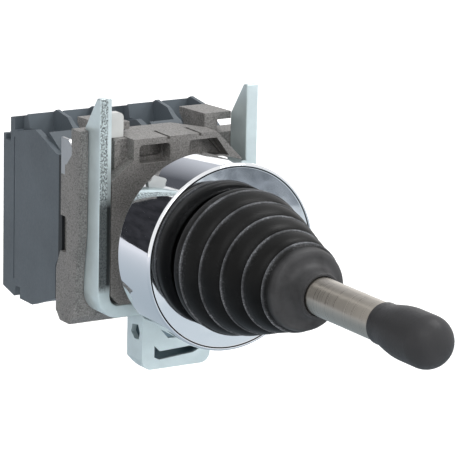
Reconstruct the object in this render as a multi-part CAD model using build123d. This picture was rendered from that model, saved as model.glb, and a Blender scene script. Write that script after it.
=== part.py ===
from build123d import *
import os
from math import radians, tan

# Frame: X to the operator's right, +Y into the panel, Z up, all in millimetres.
# The origin is on the lever's axis, in the plane of the panel's front face.

# Named clearances
running_clearance = 0.05
seat_clearance = 0.1
sweep_clearance = 0.3

# Bezel ring
bezel_rear_radius = 22.0
bezel_front_radius = 22.35
bezel_length = 14.7
bezel_wall = 1.6
bezel_lip = 1.2
bezel_mouth_radius = 16.6
bezel_dish_depth = 5.2
bezel_web = 1.4
bezel_edge_round = 0.5
bezel_lip_slope = 1.6

# Head body and its neck
neck_radius = 11.0
neck_bore_radius = 9.3
neck_length = 15.0
neck_end_wall = 3.0
flange_clearance = 0.6
gasket_thickness = 1.0
gasket_radius = 19.0

# Lever and gimbal
pivot_depth = 2.0
tilt_limit = 15.0
rod_radius = 4.45
rod_hub_radius = 3.4
rod_hub_margin = 1.4
rod_hub_taper = 1.0
ring_outer_radius = 8.5
ring_inner_radius = 5.2
ring_thickness = 4.0
pin_radius = 1.2
plate_radius = 7.4
plate_thickness = 1.5
plate_offset = 4.5
knob_start = 78.4
knob_collar_radius = 4.8
knob_collar_length = 2.1
knob_radius = 6.0
knob_shoulder = 89.0
knob_dome_start = 94.7
knob_flare = 0.35
tenon_radius = 3.0
tenon_length = 12.0

# Return spring round the lever
spring_wire_radius = 0.55
wire_sides = 6
spring_radius = 10.2
spring_turns = 3.0
spring_length = 14.0
seat_washer_radius = 11.2
seat_washer_thickness = 1.4

# Bellows: (distance in front of the panel, radius) of each ridge
bellows_ridges = [(21.0, 17.3), (27.0, 15.8), (33.0, 13.9), (39.0, 12.0), (45.8, 10.5)]
bellows_rim = 0.5
bellows_slope_drop = 0.8
bellows_valley_drop = 2.2
bellows_valley_width = 0.9
bellows_bulge_drop = 1.4
bellows_wall = 1.1
bellows_end = 54.0
bellows_face = 50.6
bellows_end_radius = 9.6
bellows_lip_radius = 5.5

# Pushers
pusher_circle = 6.0
pusher_radius = 1.4
pusher_gap = 0.8
arm_thickness = 1.4
arm_width = 3.0

# Die-cast middle body
body_front = 10.0
body_thickness = 5.3
body_side_clearance = 0.15
body_top = 24.2
body_shoulder = 14.7
top_left = -12.4
top_right = 10.2
wing_tip = 17.1
slope_left = 19.3
slope_right = 17.2
shelf_reach = 8.3
shelf_corner_reach = 3.9
body_shelf_bottom = 22.1
shelf_corner_left = -10.5
shelf_back_left = -6.1
shelf_back_right = 5.0
shelf_ledges = (-3.4, 5.2)
shelf_ledge_width = 0.75
shelf_ledge_depth = 0.7
rear_shoulder_left = -15.8
rear_shoulder_lap = 2.1
rear_shoulder_top = 24.0
tower_half_width = 3.6
neck_flat = 9.5
pocket_depth = 3.4
pocket_floor = 18.2
pocket_rim = 1.5
pocket_web_left = -2.5
pocket_web_right = 2.7
pocket_step = 1.0
wing_rim = 2.4

# Sheet-metal U bracket
bracket_half_width = 21.5
bracket_sheet = 3.15
bracket_width = 7.4
bracket_top = 34.7
bracket_bottom = -18.5
bracket_bend_radius = 5.5
bracket_chamfer_depth = 5.8
bracket_chamfer_height = 8.2

# Pale stop beside the left leg
stop_right = -12.4
stop_thickness = 2.2
stop_top = 29.9
stop_round = 1.3

# Clamp stirrup below the bracket
stirrup_half_width = 9.4
stirrup_sheet = 1.4
stirrup_drop = 14.0
stirrup_bend_radius = 2.6
stirrup_length = 7.3
stirrup_side_bevel = 4.8
stirrup_return = 3.4
stirrup_lip = 2.6
stirrup_slot_rise = 2.2
stirrup_slot_height = 2.1
stirrup_slot_half = 6.0
stirrup_slot_corner = 0.7
stirrup_slot_upturn = 1.5
stirrup_dent = [(-4.4, -4.3), (-2.3, -6.7), (0.3, -6.8)]
stirrup_hole_reach = 3.3
stirrup_hole_drop = 4.9
stirrup_hole_size = 2.1
stirrup_hole_shape = [(-1, 0), (-0.6, 0.9), (0.7, 0.7), (1, -0.2), (0.2, -0.9), (-0.8, -0.8)]
clamp_screw_radius = 1.25
clamp_screw_spacing = 7.6
clamp_head_radius = 2.2
clamp_head_height = 2.2
clamp_slot_width = 1.0
clamp_slot_depth = 0.9

# Rear collars
collar_offset = 4.0
collar_width = 20.0
collar_bottom = -21.5
collar_top = 26.2
collar_front_top = 22.0
collar_heel = 2.2
cheek_waist = -11.0
cheek_taper = 0.4
collar_rear_wall = 1.7
collar_step = 2.1
collar_step_top = -4.3
collar_step_bottom = -8.8
collar_cheek = 2.3
cheek_low = 2.0
cheek_top = 20.0
ear_width = 4.2
ear_length = 1.9
post_offset = 7.1
post_width = 3.3
post_top = 27.0
post_plate = 1.8
post_plate_width = 7.4
post_overhang = 5.2
post_fall = 0.5
pocket_back_wall = 0.6
clip_sheet = 0.7
clip_inset = 1.7
clip_corner = 1.6
clip_side = 3.4
clip_toe = 2.6
clip_top = 23.3
clip_hook_bottom = 17.0
clip_tail_bottom = 14.5
clip_tail_width = 1.9
flank_recess_depth = 3.0
flank_recess_half = 4.4

# Contact blocks
block_width = 9.7
block_gap = 0.1
block_heel_gap = 1.1
block_back = 54.6
block_top = 25.2
block_shoulder = 18.5
block_front_flat = 3.1
block_slope_top = 38.1
block_slope_drop = 0.75
block_peak = 44.1
block_rear_top = 23.5
block_shelf = 18.4
block_bottom = -21.4
block_rear_bottom = -20.0
block_front_bottom = -17.1
near_flank_top = 22.2
near_flank_width = 1.6
rear_slot = 1.7
rear_slot_floor = 20.2
rear_post = 3.3
rear_post_drop = 0.8
rear_shelf = 2.6
shelf_notch = 2.4
shelf_notch_depth = 1.4
keel_notch_margin = 0.9
keel_notch_width = 2.1
keel_notch_height = 2.7
keel_flat = 6.5
funnel_reach = 8.5
funnel_back_reach = 5.8
funnel_wall = 0.7
groove_width = 0.4
groove_depth = 0.25
cavity_front = 30.0
cavity_back = 45.0
cavity_half_width = 3.4
cavity_half_height = 9.0
plunger_radius = 2.0
stem_radius = 1.1
shoulder_offset = 3.0
stem_length = 6.0
bridge_thickness = 0.8
bridge_half_length = 7.5
contact_gap = 0.2
contact_overlap = 2.5
contact_sheet = 0.8
coil_radius = 1.9
coil_wire_radius = 0.28
coil_turns = 4
terminal_offset = 3.6
terminal_head_radius = 2.2
terminal_hole_radius = 2.5
terminal_shank_radius = 1.5
terminal_head_height = 1.6
terminal_rise = 5.2
terminal_tail = 3.0
terminal_margin = 0.6
clamp_thickness = 1.6
screw_slot = 0.8

# Worked-out places
flange_radius = bezel_rear_radius - bezel_wall - flange_clearance
body_back = body_front + body_thickness
cheek_front = body_back + seat_clearance
shelf_corner_depth = body_back + shelf_corner_reach
body_shelf_back = body_back + shelf_reach
bracket_back = body_front + bracket_width
rear_shoulder_back = bracket_back - seat_clearance
ear_back = bracket_back + ear_length
clip_front = bracket_back + clip_inset
leg_inner = bracket_half_width - bracket_sheet
body_half_width = leg_inner - body_side_clearance
strip_top = bracket_bottom + bracket_sheet
plate_back = pivot_depth + plate_offset + plate_thickness
pusher_nose = plate_back + pusher_gap
pusher_stroke = pusher_circle * tan(radians(tilt_limit))
arm_depth = bracket_back + pusher_stroke + sweep_clearance
arm_back = arm_depth + arm_thickness
window_back = arm_back + pusher_stroke + sweep_clearance
collar_upper_back = window_back + collar_rear_wall
collar_back = collar_upper_back + collar_step
post_back = collar_upper_back + post_overhang
block_slope_foot = collar_upper_back + block_front_flat
rear_slot_front = block_back - rear_shelf - rear_post - rear_slot
plunger_shoulder = cavity_front + shoulder_offset
stem_end = plunger_shoulder + stem_length
contact_depth = plunger_shoulder + bridge_thickness + pusher_stroke + contact_gap
terminal_depth = contact_depth + contact_sheet + terminal_offset
funnel_front = terminal_depth - funnel_reach
funnel_back = terminal_depth + funnel_back_reach
left_collar_x = -collar_offset - collar_width
right_collar_x = collar_offset
inner_column = collar_offset + block_gap + block_width / 2
outer_column = inner_column + block_width + block_gap
columns = {"up": -outer_column, "left": -inner_column, "right": inner_column, "down": outer_column}
pusher_places = {
    "up": (0, pusher_circle),
    "down": (0, -pusher_circle),
    "left": (-pusher_circle, 0),
    "right": (pusher_circle, 0),
}


def box(x0, x1, y0, y1, z0, z1):
    """Block between two corners."""
    centre = Pos((x0 + x1) / 2, (y0 + y1) / 2, (z0 + z1) / 2)
    return centre * Box(x1 - x0, y1 - y0, z1 - z0)


def rod_y(radius, y0, y1, x=0, z=0):
    """Round bar along Y."""
    return Pos(x, (y0 + y1) / 2, z) * Rot(90, 0, 0) * Cylinder(radius, y1 - y0)


def rod_x(radius, x0, x1, y=0, z=0):
    """Round bar along X."""
    return Pos((x0 + x1) / 2, y, z) * Rot(0, 90, 0) * Cylinder(radius, x1 - x0)


def rod_z(radius, z0, z1, x=0, y=0):
    """Round bar along Z."""
    return Pos(x, y, (z0 + z1) / 2) * Cylinder(radius, z1 - z0)


def turned(points):
    """Solid turned about the lever's axis from (radius, depth) points."""
    outline = Polyline(*points, close=True)
    return revolve(make_face(outline), Axis.Y)


def side_cut(points, x0, x1):
    """Side outline of (depth, height) points, run from x0 to x1."""
    outline = Plane.YZ.offset(x0) * Polyline(*points, close=True)
    return extrude(make_face(outline), amount=x1 - x0, dir=(1, 0, 0))


def front_cut(points, y0, y1):
    """Front outline of (across, height) points, run from y0 to y1."""
    outline = Plane.XZ.offset(-y0) * Polyline(*points, close=True)
    return extrude(make_face(outline), amount=y1 - y0, dir=(0, 1, 0))


def coil(mean_radius, wire_radius, y0, y1, turns, x=0, z=0):
    """Helical spring along Y between two planes, its wire drawn with six flats."""
    rise = y1 - y0 - 2 * wire_radius
    path = Helix(pitch=rise / turns, height=rise, radius=mean_radius)
    section = Plane(origin=path @ 0, z_dir=path % 0) * RegularPolygon(wire_radius, wire_sides)
    spring = sweep(section, path=path)
    return Pos(x, y0 + wire_radius, z) * Rot(-90, 0, 0) * spring


def bezel_ring():
    """Polished ring with a dished front and a thin web that holds the bellows down."""
    front = -bezel_length
    dish = front + bezel_dish_depth
    return turned([
        (bezel_rear_radius - bezel_wall, 0),
        (bezel_rear_radius, 0),
        (bezel_front_radius, front + bezel_edge_round),
        (bezel_front_radius - bezel_edge_round, front),
        (bezel_front_radius - bezel_lip, front),
        (bezel_front_radius - bezel_lip - bezel_lip_slope, front + bezel_lip_slope),
        (bezel_mouth_radius + 2 * bezel_edge_round, dish - bezel_edge_round),
        (bezel_mouth_radius, dish),
        (bezel_mouth_radius, dish + bezel_web),
        (bezel_rear_radius - bezel_wall, dish + bezel_web),
    ])


def head_body():
    """Flanged body whose neck passes the panel and carries the gimbal."""
    flange_front = -bezel_length + bezel_dish_depth + bezel_web + bellows_wall
    body = turned([
        (neck_bore_radius, flange_front),
        (flange_radius, flange_front),
        (flange_radius, 0),
        (neck_radius, 0),
        (neck_radius, neck_length),
        (0, neck_length),
        (0, neck_length - neck_end_wall),
        (neck_bore_radius, neck_length - neck_end_wall),
    ])
    for x, z in pusher_places.values():
        body -= rod_y(pusher_radius + running_clearance, 0, neck_length + 1, x, z)
    body -= rod_x(pin_radius, -neck_radius - 1, neck_radius + 1, pivot_depth)
    return body


def panel_gasket():
    """Flat seal between the flange and the panel."""
    return turned([
        (neck_radius, 0),
        (gasket_radius, 0),
        (gasket_radius, gasket_thickness),
        (neck_radius, gasket_thickness),
    ])


def bellows():
    """Rubber boot: each fold a thin rim, a slope and a narrow valley, closed by a lip on the rod."""
    base = -bezel_length + bezel_dish_depth + bezel_web
    neck_in = bezel_mouth_radius - seat_clearance
    bore = rod_radius + sweep_clearance
    outside = [(neck_in, base), (neck_in, -bellows_ridges[0][0] + 2 * bellows_valley_width)]
    inside = [(neck_in - bellows_wall, base + bellows_wall)]
    following = bellows_ridges[1:]
    for (depth, radius), (next_depth, next_radius) in zip(bellows_ridges, following):
        valley = next_radius - bellows_valley_drop
        outside += [
            (radius, -depth + bellows_rim),
            (radius, -depth - bellows_rim),
            (next_radius - bellows_slope_drop, -(depth + next_depth) / 2),
            (valley, -next_depth + bellows_valley_width + bellows_rim),
            (valley, -next_depth + bellows_valley_width),
        ]
        inside += [(valley - bellows_wall, -next_depth + bellows_valley_width)]
    depth, radius = bellows_ridges[-1]
    waist = bellows_end_radius - bellows_bulge_drop
    waist_depth = -(depth + bellows_face) / 2
    outside += [
        (radius, -depth + bellows_rim),
        (radius, -depth - bellows_rim),
        (waist, waist_depth),
        (bellows_end_radius, -bellows_face + bellows_rim),
        (bellows_end_radius - bellows_rim, -bellows_face),
        (bellows_lip_radius + bellows_wall, -bellows_face),
        (bellows_lip_radius, -bellows_end),
        (bore, -bellows_end),
        (bore, -bellows_face + bellows_wall),
    ]
    inside += [
        (waist - bellows_wall, waist_depth),
        (waist - bellows_wall, -bellows_face + bellows_wall),
    ]
    flange = [(flange_radius, base + bellows_wall), (flange_radius, base)]
    return turned(flange + outside + inside[::-1])


def lever_rod():
    """Steel rod with a narrower hub that the lever pin crosses."""
    hub_front = pivot_depth - ring_thickness / 2 - rod_hub_margin
    rear = pivot_depth + plate_offset
    rod = turned([
        (0, -knob_start - tenon_length),
        (tenon_radius, -knob_start - tenon_length),
        (tenon_radius, -knob_start),
        (rod_radius, -knob_start),
        (rod_radius, hub_front - rod_hub_taper),
        (rod_hub_radius, hub_front),
        (rod_hub_radius, rear),
        (0, rear),
    ])
    return rod - rod_z(pin_radius, -rod_radius, rod_radius, 0, pivot_depth)


def knob():
    """Bullet-shaped handle with a short collar behind it."""
    flare = knob_start + knob_collar_length
    with BuildSketch(Plane.XY) as outline:
        with BuildLine():
            Polyline(
                (0, -knob_dome_start - knob_radius),
                (0, -knob_start - tenon_length),
                (tenon_radius, -knob_start - tenon_length),
                (tenon_radius, -knob_start),
                (knob_collar_radius, -knob_start),
                (knob_collar_radius, -flare),
            )
            Spline(
                (knob_collar_radius, -flare),
                (knob_radius, -knob_shoulder),
                tangents=((knob_flare, -1), (0, -1)),
            )
            Line((knob_radius, -knob_shoulder), (knob_radius, -knob_dome_start))
            RadiusArc(
                (knob_radius, -knob_dome_start),
                (0, -knob_dome_start - knob_radius),
                knob_radius,
            )
        make_face()
    return revolve(outline.sketch, Axis.Y)


def gimbal_ring():
    """Flat ring between the neck and the lever."""
    y0 = pivot_depth - ring_thickness / 2
    y1 = pivot_depth + ring_thickness / 2
    ring = rod_y(ring_outer_radius, y0, y1) - rod_y(ring_inner_radius, y0, y1)
    ring -= rod_x(pin_radius, -ring_outer_radius, ring_outer_radius, pivot_depth)
    hole = pin_radius + running_clearance
    return ring - rod_z(hole, -ring_outer_radius, ring_outer_radius, 0, pivot_depth)


def gimbal_pins():
    """Two pins from the ring into the neck wall."""
    pins = []
    for side in (-1, 1):
        near = ring_inner_radius
        far = neck_radius - 2 * seat_clearance
        x0, x1 = sorted((side * near, side * far))
        pins.append(rod_x(pin_radius - running_clearance, x0, x1, pivot_depth))
    return Compound(children=pins)


def lever_pin():
    """Pin through the lever's hub into the ring."""
    reach = ring_outer_radius - sweep_clearance
    return rod_z(pin_radius, -reach, reach, 0, pivot_depth)


def rocker_plate():
    """Disc on the lever's rear end that presses the pushers."""
    front = pivot_depth + plate_offset
    return rod_y(plate_radius, front, front + plate_thickness)


def spring_seat():
    """Washer on the rod that the return spring leans on."""
    back = flange_spring_end()
    washer = rod_y(seat_washer_radius, back - seat_washer_thickness, back)
    return washer - rod_y(rod_radius, back - seat_washer_thickness, back)


def flange_spring_end():
    """Depth of the return spring's front end."""
    return -bezel_length + bezel_dish_depth + bezel_web + bellows_wall - spring_length


def return_spring():
    """Coil between the head body and its seat on the rod."""
    front = flange_spring_end()
    return coil(spring_radius, spring_wire_radius, front, front + spring_length, spring_turns)


def pusher(name):
    """Domed rod in the neck's end wall with an arm to its contact block."""
    x, z = pusher_places[name]
    column = columns[name]
    dome_centre = pusher_nose + pusher_radius
    body = rod_y(pusher_radius, dome_centre, arm_back, x, z)
    body += Pos(x, dome_centre, z) * Sphere(pusher_radius)
    half = arm_width / 2
    x0, x1 = sorted((x, column))
    body += box(x0 - half, x1 + half, arm_depth, arm_back, z - half, z + half)
    z0, z1 = sorted((z, 0))
    body += box(column - half, column + half, arm_depth, arm_back, z0 - half, z1 + half)
    return body


def plunger(column):
    """Contact block's plunger: head, guide and stem."""
    body = rod_y(plunger_radius, arm_back, plunger_shoulder, column)
    return body + rod_y(stem_radius, plunger_shoulder, stem_end, column)


def contact_bridge(column):
    """Moving contact bar on the plunger's stem, with a contact point at each end."""
    back = plunger_shoulder + bridge_thickness
    bar = box(
        column - cavity_half_width / 2, column + cavity_half_width / 2,
        plunger_shoulder, back, -bridge_half_length, bridge_half_length,
    )
    return bar - rod_y(stem_radius, plunger_shoulder, back, column)


def plunger_spring(column):
    """Coil that pushes the plunger forward."""
    start = plunger_shoulder + bridge_thickness
    return coil(coil_radius, coil_wire_radius, start, cavity_back, coil_turns, column)


def strip_reach():
    """Height of the fixed contact strips' outer ends."""
    return cavity_half_height + terminal_rise


def fixed_contacts():
    """Two fixed contact strips in each block, from the bridge to the terminals."""
    strips = []
    for column in columns.values():
        for side in (-1, 1):
            z0, z1 = sorted((side * (bridge_half_length - contact_overlap), side * strip_reach()))
            y1 = contact_depth + contact_sheet
            half = cavity_half_width / 2
            lower = box(column - half, column + half, contact_depth, y1, z0, z1)
            foot0, foot1 = sorted((side * (strip_reach() - contact_sheet), side * strip_reach()))
            foot = box(column - half, column + half, y1, terminal_back(), foot0, foot1)
            foot -= rod_z(terminal_shank_radius, foot0, foot1, column, terminal_depth)
            strips.append(lower + foot)
    return Compound(children=strips)


def terminal_back():
    """Depth of the terminal strips' rear ends."""
    return terminal_depth + terminal_head_radius + terminal_margin


def terminal_clamps():
    """Square clamp plate under each terminal screw."""
    plates = []
    for column in columns.values():
        for side in (-1, 1):
            z0, z1 = sorted((side * strip_reach(), side * (strip_reach() + clamp_thickness)))
            half = terminal_head_radius
            y0 = terminal_depth - half
            plate = box(column - half, column + half, y0, terminal_depth + half, z0, z1)
            plates.append(plate - rod_z(terminal_shank_radius, z0, z1, column, terminal_depth))
    return Compound(children=plates)


def terminal_screws():
    """Slotted screws that hold the clamp plates."""
    screws = []
    for column in columns.values():
        for side in (-1, 1):
            head = strip_reach() + clamp_thickness
            top = head + terminal_head_height
            z0, z1 = sorted((side * head, side * top))
            screw = rod_z(terminal_head_radius, z0, z1, column, terminal_depth)
            s0, s1 = sorted((side * (strip_reach() - terminal_tail), side * head))
            screw += rod_z(terminal_shank_radius, s0, s1, column, terminal_depth)
            t0, t1 = sorted((side * (top - screw_slot), side * top))
            wide = terminal_head_radius
            slot0 = terminal_depth - screw_slot / 2
            screw -= box(column - wide, column + wide, slot0, slot0 + screw_slot, t0, t1)
            screws.append(screw)
    return Compound(children=screws)


def block_outline():
    """Side outline of a contact block, from its front foot up, over the top and round."""
    front = collar_upper_back
    low = collar_back + block_heel_gap
    slot_back = rear_slot_front + rear_slot
    rear_post_back = slot_back + rear_post
    notch_back = slot_back - keel_notch_margin
    notch_front = notch_back - keel_notch_width
    notch_top = block_bottom + keel_notch_height
    return [
        (front, collar_step_top), (front, block_shoulder), (block_slope_foot, block_shoulder),
        (block_slope_top, block_top - block_slope_drop), (block_peak, block_top),
        (rear_slot_front, block_rear_top), (rear_slot_front, rear_slot_floor),
        (slot_back, rear_slot_floor), (slot_back, block_rear_top),
        (rear_post_back, block_rear_top - rear_post_drop), (rear_post_back, block_shelf), (block_back, block_shelf), (block_back, block_rear_bottom),
        (slot_back, block_bottom), (notch_back, notch_top), (notch_front, notch_top),
        (notch_front, block_bottom), (notch_front - keel_flat, block_bottom),
        (low, block_front_bottom), (low, collar_step_bottom),
    ]


def contact_block(column):
    """Moulded housing: stepped back, funnels over the terminals and a cavity for the contacts."""
    x0 = column - block_width / 2
    x1 = column + block_width / 2
    body = side_cut(block_outline(), x0, x1)
    cavity = box(
        column - cavity_half_width, column + cavity_half_width,
        cavity_front, cavity_back, -cavity_half_height, cavity_half_height,
    )
    body -= cavity
    body -= rod_y(plunger_radius + running_clearance, collar_upper_back - 1, cavity_front, column)
    for side in (-1, 1):
        # Slot for the fixed contact strip
        half = cavity_half_width / 2
        z0, z1 = sorted((side * (cavity_half_height - 1), side * strip_reach()))
        y1 = contact_depth + contact_sheet
        body -= box(column - half, column + half, contact_depth, y1, z0, z1)
        foot0, foot1 = sorted((side * (strip_reach() - contact_sheet), side * strip_reach()))
        body -= box(column - half, column + half, y1, terminal_back(), foot0, foot1)
        # Screw well above the strip, its blind tail below and its funnel on top
        well_top = strip_reach() + clamp_thickness + terminal_head_height
        w0, w1 = sorted((side * strip_reach(), side * well_top))
        wide = terminal_hole_radius
        body -= box(
            column - wide, column + wide, terminal_depth - wide, terminal_depth + wide, w0, w1,
        )
        s0, s1 = sorted((side * (strip_reach() - terminal_tail), side * strip_reach()))
        body -= rod_z(terminal_shank_radius, s0, s1, column, terminal_depth)
        body -= funnel(column, side, well_top)
    # The near flank stops short of the top, behind a slanting edge
    flank_edge = [
        (block_slope_foot, block_shoulder), (block_slope_top, near_flank_top),
        (rear_slot_front, rear_slot_floor), (rear_slot_front, block_top + 1),
        (block_slope_foot, block_top + 1),
    ]
    body -= side_cut(flank_edge, x0 - 1, x0 + near_flank_width)
    # Notch in the rear shelf
    notch_back = block_back - rear_shelf / 2
    notch_floor = block_shelf - shelf_notch_depth
    body -= box(
        x0 - 1, x0 + near_flank_width, notch_back - shelf_notch, notch_back, notch_floor, block_top,
    )
    # Moulding groove along each flank's back edge
    groove_front = rear_slot_front + rear_slot
    for side_x in (x0, x1):
        body -= box(
            side_x - groove_depth, side_x + groove_depth, groove_front, groove_front + groove_width,
            block_front_bottom, block_shelf,
        )
    return body


def funnel(column, side, narrow_height):
    """Four-sided funnel that widens from the screw well to the block's top or bottom."""
    narrow = 2 * terminal_hole_radius
    wide = block_width - 2 * funnel_wall
    wide_height = block_top + 1
    length = funnel_back - funnel_front
    mouth = Plane.XY.offset(side * wide_height)
    throat = Plane.XY.offset(side * narrow_height)
    middle = (funnel_front + funnel_back) / 2
    return loft([
        throat * Pos(column, terminal_depth) * Rectangle(narrow, narrow),
        mouth * Pos(column, middle) * Rectangle(wide, length),
    ])


def body_casting():
    """Die-cast middle body: pocketed front, neck bore and a tapered shelf over the collars."""
    half = body_half_width
    corner = bracket_bend_radius - bracket_sheet
    outline = [
        (-half + corner, strip_top), (-half, strip_top + corner), (-half, body_shoulder),
        (top_left, slope_left), (top_left, body_top), (top_right, body_top),
        (wing_tip, slope_right), (half, body_shoulder),
        (half, strip_top + corner), (half - corner, strip_top),
    ]
    body = front_cut(outline, body_front, body_back)
    body += shelf(body_shelf_bottom, body_top)
    for z0, z1 in ((neck_flat, body_shelf_bottom), (strip_top, -neck_flat)):
        body += box(-tower_half_width, tower_half_width, body_back, body_shelf_back, z0, z1)
    # Rear shoulder beside the left leg, rounded on its outer edge
    shoulder = box(
        rear_shoulder_left, top_left, body_back - rear_shoulder_lap, rear_shoulder_back,
        neck_flat, rear_shoulder_top,
    )
    outer_edge = shoulder.edges().filter_by(Axis.Y).group_by(Axis.Z)[-1].sort_by(Axis.X)[0]
    body += fillet(outer_edge, pocket_rim)
    body -= rod_y(neck_radius + seat_clearance, body_front, rear_shoulder_back)
    # Front pockets either side of the web, each with an inner step
    pocket_back = body_front + pocket_depth
    ceiling = body_top - pocket_rim
    left = top_left + pocket_rim
    for inset, y1 in ((0, pocket_back), (pocket_step, pocket_back + pocket_step)):
        pocket = box(left + inset, pocket_web_left - inset / 2, body_front, y1, pocket_floor + inset, ceiling)
        upright = pocket.edges().filter_by(Axis.Y)
        body -= fillet(upright, pocket_step)
        wing = [
            (pocket_web_right + inset / 2, pocket_floor - pocket_rim + inset),
            (pocket_web_right + inset / 2, ceiling), (top_right - inset, ceiling),
            (wing_tip - wing_rim - inset, pocket_floor - pocket_rim + inset),
        ]
        body -= front_cut(wing, body_front, y1)
    # Ledges along the shelf's top
    ledge_back = shelf_corner_depth - rear_shoulder_lap
    for x in shelf_ledges:
        x1 = x + shelf_ledge_width
        body -= box(x, x1, body_front, ledge_back, body_top - shelf_ledge_depth, body_top)
    return body


def shelf(z0, z1):
    """Plate behind the casting's top, narrower towards its back."""
    outline = Polyline(
        (top_left, body_back), (top_left, body_back + pocket_rim),
        (shelf_corner_left, shelf_corner_depth), (shelf_back_left, body_shelf_back),
        (shelf_back_right, body_shelf_back), (-shelf_back_left, body_shelf_back - pocket_rim),
        (top_right, body_back), close=True,
    )
    return extrude(Plane.XY.offset(z0) * make_face(outline), amount=z1 - z0)


def mounting_bracket():
    """Steel strip bent to a U, legs cut away at their top back corners."""
    half = bracket_half_width
    outer = box(-half, half, body_front, bracket_back, bracket_bottom, bracket_top)
    low_edges = outer.edges().filter_by(Axis.Y).sort_by(Axis.Z)[:2]
    outer = fillet(low_edges, bracket_bend_radius)
    inner = box(-leg_inner, leg_inner, body_front, bracket_back, strip_top, bracket_top + 1)
    low_edges = inner.edges().filter_by(Axis.Y).sort_by(Axis.Z)[:2]
    inner = fillet(low_edges, bracket_bend_radius - bracket_sheet)
    corner = [
        (bracket_back - bracket_chamfer_depth, bracket_top),
        (bracket_back, bracket_top),
        (bracket_back, bracket_top - bracket_chamfer_height),
    ]
    bracket = outer - inner - side_cut(corner, -half - 1, half + 1)
    for x in clamp_screw_places():
        bracket -= rod_z(clamp_screw_radius, bracket_bottom, strip_top, x, screw_depth())
    return bracket


def screw_depth():
    """Depth of the clamp screws."""
    return body_front + stirrup_length / 2


def clamp_screw_places():
    """Across positions of the clamp screws."""
    return (-clamp_screw_spacing / 2, clamp_screw_spacing / 2)


def leg_stop():
    """Pale stop that stands on the casting's shoulder beside the left leg."""
    left = -leg_inner + seat_clearance
    front = rear_shoulder_back - stop_thickness
    stop = box(left, stop_right, front, rear_shoulder_back, rear_shoulder_top, stop_top)
    return fillet(stop.edges().filter_by(Axis.Y).group_by(Axis.Z)[-1], stop_round)


def clamp_stirrup():
    """Pressed channel under the bracket: top flange, front plate, sides, foot and rear returns."""
    half = stirrup_half_width
    top = bracket_bottom
    low = top - stirrup_drop
    y1 = body_front + stirrup_length
    outer = box(-half, half, body_front, y1, low, top)
    outer = fillet(outer.edges().filter_by(Axis.Y).sort_by(Axis.Z)[:2], stirrup_bend_radius)
    inner = box(
        -half + stirrup_sheet, half - stirrup_sheet,
        body_front + stirrup_sheet, y1 - stirrup_sheet, low + stirrup_sheet, top - stirrup_sheet,
    )
    inner = fillet(
        inner.edges().filter_by(Axis.Y).sort_by(Axis.Z)[:2], stirrup_bend_radius - stirrup_sheet,
    )
    body = outer - inner
    # Opening between the rear returns, above the foot's lip
    reach = half - stirrup_sheet - stirrup_return
    lip = low + stirrup_sheet + stirrup_lip
    body -= box(-reach, reach, y1 - stirrup_sheet, y1, lip, top - stirrup_sheet)
    # Slot low in the front plate, turned up at its left end
    across = stirrup_slot_half
    floor = low + stirrup_slot_rise
    ceiling = floor + stirrup_slot_height
    nick = stirrup_slot_corner
    slot = [
        (-across, ceiling + stirrup_slot_upturn), (-across + stirrup_slot_upturn, ceiling),
        (across - 3 * nick, ceiling + nick / 2), (across + nick / 2, ceiling - nick),
        (across - 2 * nick, floor + nick), (-across + 2 * nick, floor), (-across, floor + nick),
    ]
    body -= front_cut(slot, body_front, body_front + stirrup_sheet)
    # Shallow leaf-shaped dent above the slot
    dent = [(x, top + z) for x, z in stirrup_dent]
    body -= front_cut(dent, body_front, body_front + stirrup_sheet / 2)
    # Six-sided hole in each side
    for side in (-1, 1):
        wall = sorted((side * (half - stirrup_sheet), side * half))
        size = stirrup_hole_size
        ring = [
            (body_front + stirrup_hole_reach + y * size, top - stirrup_hole_drop + z * size)
            for y, z in stirrup_hole_shape
        ]
        body -= side_cut(ring, *wall)
    # Lower rear corner of the sides
    bevel = stirrup_side_bevel / 2
    corner = [(y1 - stirrup_side_bevel, low), (y1, low + bevel), (y1, low)]
    body -= side_cut(corner, -half, half)
    for x in clamp_screw_places():
        body -= rod_z(clamp_screw_radius, top - stirrup_sheet, top, x, screw_depth())
    return body


def clamp_screws():
    """Screws from the stirrup up through the bracket's strip."""
    screws = []
    for x in clamp_screw_places():
        seat = bracket_bottom - stirrup_sheet
        screw = rod_z(clamp_screw_radius, seat, strip_top, x, screw_depth())
        screw += rod_z(clamp_head_radius, seat - clamp_head_height, seat, x, screw_depth())
        bar = clamp_head_radius
        slot = seat - clamp_head_height
        y0 = screw_depth() - clamp_slot_width / 2
        screw -= box(
            x - bar, x + bar, y0, y0 + clamp_slot_width, slot, slot + clamp_slot_depth,
        )
        screws.append(screw)
    return Compound(children=screws)


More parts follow.
